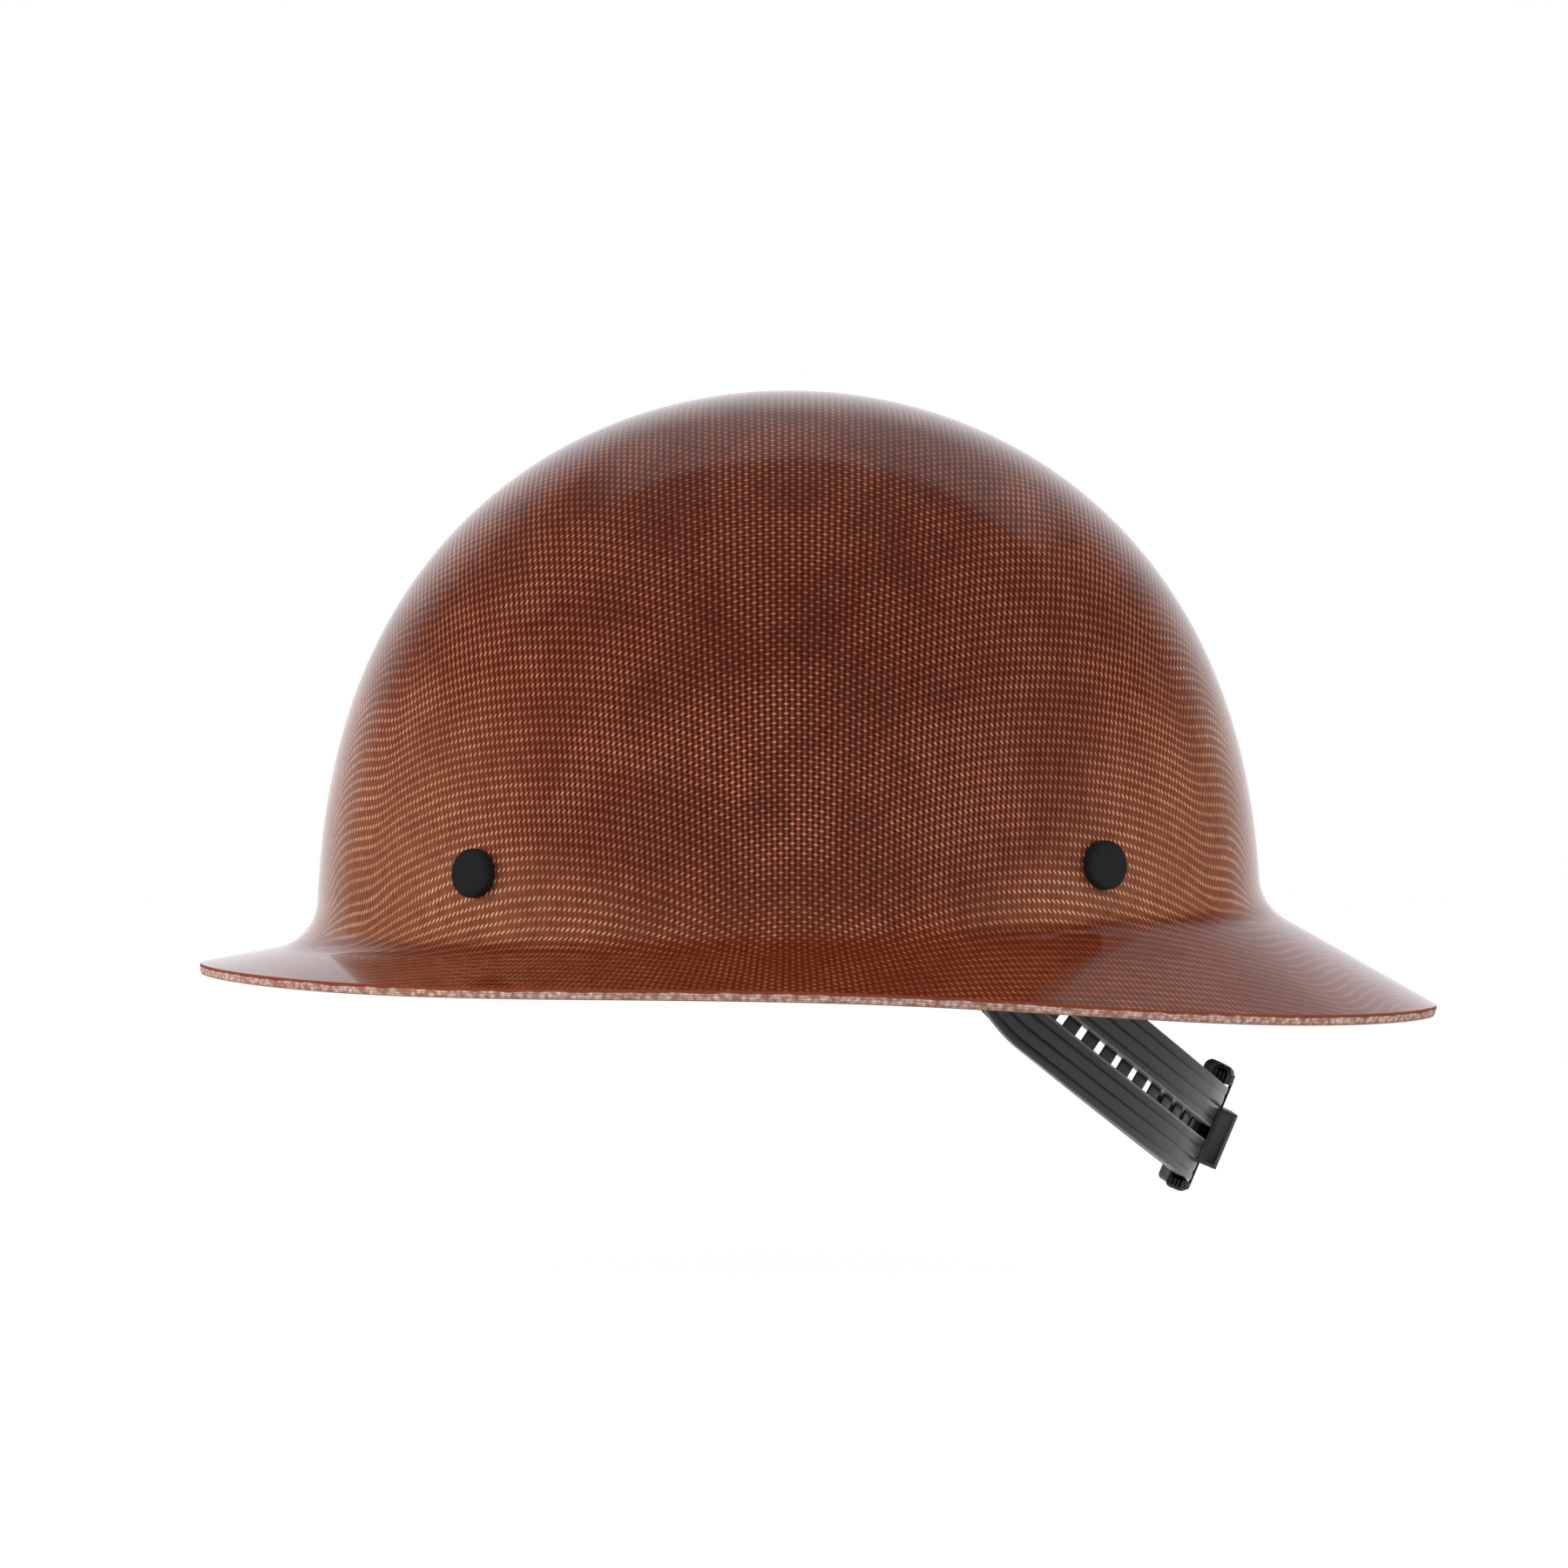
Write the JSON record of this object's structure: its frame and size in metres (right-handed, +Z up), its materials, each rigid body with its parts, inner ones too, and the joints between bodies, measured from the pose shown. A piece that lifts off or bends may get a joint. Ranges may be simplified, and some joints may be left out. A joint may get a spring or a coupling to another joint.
{
  "type": "full brim hard hat",
  "caption": "Full brim hard hat: laminated cloth shell, webbing suspension, headband and a sliding nape strap lock.",
  "frame": {"origin": "Middle of the head opening, in the plane of the headband's lower edge.", "axes": "+X towards the wearer's left, +Y towards the rear, +Z up through the crown."},
  "size_m": [0.272, 0.315, 0.2043],
  "materials": {
    "laminate": "glossy resin over a tan and brown plain weave",
    "black_plastic": "matt black moulding",
    "grey_plastic": "satin dark grey moulding",
    "strap_plastic": "satin dark grey with fine lengthwise grooves",
    "fibre": "grey fibre",
    "webbing": "dark grey woven webbing",
    "pad_cloth": "soft napped cloth",
    "steel": "drawn steel wire"
  },
  "bodies": {
    "suspension": {"headband": "grey_plastic", "brow_pad": "pad_cloth", "brow_pad_studs": "black_plastic", "hanger_front_left": "grey_plastic", "hanger_front_right": "grey_plastic", "hanger_rear_left": "grey_plastic", "hanger_rear_right": "grey_plastic", "crown_strap_lower": "webbing", "crown_strap_upper": "webbing", "pivot_pin_left": "black_plastic", "pivot_pin_right": "black_plastic"},
    "shell_body": {"shell": "laminate", "rivets": "black_plastic", "washers": "fibre", "lug_front_left": "grey_plastic", "lug_front_right": "grey_plastic", "lug_rear_left": "grey_plastic", "lug_rear_right": "grey_plastic"},
    "nape_body": {"nape_strap_left": "strap_plastic", "nape_strap_right": "strap_plastic"},
    "lock_body": {"lock_guide": "black_plastic", "lock_saddle": "black_plastic", "lever_pin": "steel"},
    "lever_body": {"lock_lever": "black_plastic"}
  },
  "joints": [
    {"name": "shell_lift", "type": "slide", "parent": "suspension", "child": "shell_body", "axis": [0, 0, 1], "range_m": [0, 0.05]},
    {"name": "nape_swing", "type": "hinge", "parent": "suspension", "child": "nape_body", "pos_m": [0, 0.026, 0.023], "axis": [1, 0, 0], "range_deg": [-15, 8]},
    {"name": "size_slide", "type": "slide", "parent": "nape_body", "child": "lock_body", "axis": [0, -0.7771, 0.6293], "range_m": [0, 0.022], "deforming": ["nape_strap_left", "nape_strap_right"]},
    {"name": "lever_lift", "type": "hinge", "parent": "lock_body", "child": "lever_body", "pos_m": [-0.0105, 0.10896, -0.04292], "axis": [0, 0.3859, 0.9225], "range_deg": [0, 35]}
  ]
}
